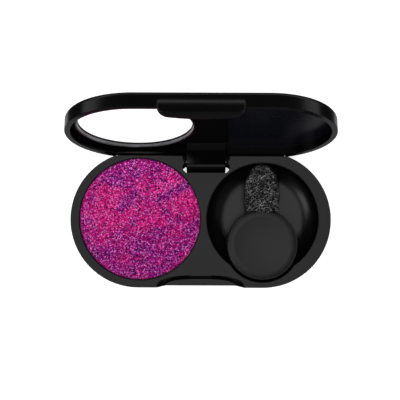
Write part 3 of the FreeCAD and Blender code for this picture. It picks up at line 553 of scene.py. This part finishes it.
def sponge():
    ny, na = 96, 168
    y0, y1 = 0.97, 12.40
    ys = [y0 + (y1 - y0) * (1 - (1 - i / ny) ** 1.35) for i in range(ny)]
    w = [half_width(y) for y in ys]
    for _ in range(4):
        w = [w[0]] + [(w[i - 1] + 2 * w[i] + w[i + 1]) / 4 for i in range(1, ny - 1)] + [w[-1]]
    pts, rows = [], []
    for y, hw in zip(ys, w):
        tip = min(1.0, max(0.0, (y1 - y) / 3.2))
        t = 1.47 * (0.30 + 0.70 * math.sqrt(1 - (1 - tip) ** 2))
        row = []
        for j in range(na):
            a = 2 * math.pi * j / na
            c, s = math.cos(a), math.sin(a)
            e = 0.62
            x = hw * math.copysign(abs(c) ** e, c)
            z = t * math.copysign(abs(s) ** e, s)
            q = Vector((x, y, z))
            d, _ = noise.voronoi(q * 2.3)
            pore = max(0.0, 1.0 - d[0] / 0.42)
            lump = noise.noise(q * 0.9) * 0.05 + noise.noise(q * 4.1) * 0.045
            k = -0.03 - 0.13 * pore ** 1.3 + lump
            nx, nz = c, s
            row.append(len(pts))
            pts.append((SX + x + nx * min(k, 0.0), y, SZ + z + nz * min(k, 0.02)))
        rows.append(row)
    faces = []
    for a, b in zip(rows, rows[1:]):
        for j in range(na):
            faces.append((a[j], a[(j + 1) % na], b[(j + 1) % na], b[j]))
    faces.append(tuple(rows[0][::-1]))
    tip_i = len(pts)
    pts.append((SX, y1, SZ))
    for j in range(na):
        faces.append((rows[-1][j], rows[-1][(j + 1) % na], tip_i))
    # outward faces
    faces = [tuple(reversed(f)) for f in faces]
    o = add("sponge_tip", [(x * MM, y * MM, z * MM) for x, y, z in pts], faces, FOAM, "applicator", "applicator_sponge", True)
    return o


sponge()


# ---------------------------------------------------------------- floor, world and lights
def floor():
    me = bpy.data.meshes.new("floor")
    s = 6.0
    me.from_pydata([(-s, -s, 0), (s, -s, 0), (s, s, 0), (-s, s, 0)], [], [(0, 1, 2, 3)])
    m = Mat("floor_white")
    n = m.noise(40.0, 2)
    m.set(Base_Color=m.mix(n, srgb(236, 236, 236), srgb(240, 240, 240)), Emission_Color=(1, 1, 1, 1))
    m.b.inputs["Roughness"].default_value = 1.0
    m.b.inputs["Specular IOR Level"].default_value = 0.0
    m.b.inputs["Emission Strength"].default_value = 0.74
    me.materials.append(m.m)
    o = bpy.data.objects.new("floor", me)
    scene.collection.objects.link(o)
    o.visible_glossy = False


floor()

world = bpy.data.worlds.new("studio")
scene.world = world
world.use_nodes = True
wt = world.node_tree
wt.nodes.clear()
w_out = wt.nodes.new("ShaderNodeOutputWorld")
w_mix = wt.nodes.new("ShaderNodeMixShader")
w_path = wt.nodes.new("ShaderNodeLightPath")
w_seen = wt.nodes.new("ShaderNodeBackground")
w_dim = wt.nodes.new("ShaderNodeBackground")
w_seen.inputs[0].default_value = (1, 1, 1, 1)
w_co = wt.nodes.new("ShaderNodeTexCoord")
w_xyz = wt.nodes.new("ShaderNodeSeparateXYZ")
w_ramp = wt.nodes.new("ShaderNodeValToRGB")
w_map = wt.nodes.new("ShaderNodeMapRange")
w_map.inputs["From Min"].default_value = -1.0
w_map.inputs["From Max"].default_value = 1.0
wt.links.new(w_co.outputs["Generated"], w_xyz.inputs[0])
wt.links.new(w_xyz.outputs[2], w_map.inputs["Value"])
wt.links.new(w_map.outputs[0], w_ramp.inputs[0])
stops = [(0.0, 0.58), (0.097, 0.56), (0.135, 0.04), (0.42, 0.025), (0.475, 1.20), (0.62, 1.15), (0.70, 0.10), (1.0, 0.09)]
el = w_ramp.color_ramp.elements
while len(el) < len(stops):
    el.new(0.5)
for e, (p, v) in zip(el, stops):
    e.position = p
    e.color = (v, v, v, 1)
wt.links.new(w_ramp.outputs[0], w_dim.inputs[0])
wt.links.new(w_path.outputs["Is Camera Ray"], w_mix.inputs[0])
wt.links.new(w_dim.outputs[0], w_mix.inputs[1])
wt.links.new(w_seen.outputs[0], w_mix.inputs[2])
wt.links.new(w_mix.outputs[0], w_out.inputs[0])


def softbox(name, polar, azim, dist, sx, sy, radiance, aim=(0, 0, 0.006)):
    """An area light. polar is from straight up and azim from +X towards +Y, in degrees; sizes and distance in metres."""
    p, a = math.radians(polar), math.radians(azim)
    d = Vector((math.sin(p) * math.cos(a), math.sin(p) * math.sin(a), math.cos(p)))
    li = bpy.data.lights.new(name, 'AREA')
    li.shape = 'RECTANGLE'
    li.size, li.size_y = sx, sy
    li.energy = radiance * math.pi * sx * sy
    o = bpy.data.objects.new(name, li)
    scene.collection.objects.link(o)
    o.location = Vector(aim) + d * dist
    o.rotation_euler = d.to_track_quat('Z', 'Y').to_euler()
    o.visible_camera = False
    return o


softbox("overhead", 0, 0, 0.60, 0.36, 0.34, 0.98)
softbox("left_panel", 39, 206, 0.90, 0.32, 0.34, 2.5)
softbox("right_panel", 42, -12, 0.90, 0.30, 0.32, 0.10)
fill = softbox("fill", 0, 0, 1.20, 1.20, 1.20, 1.45)
fill.visible_glossy = False
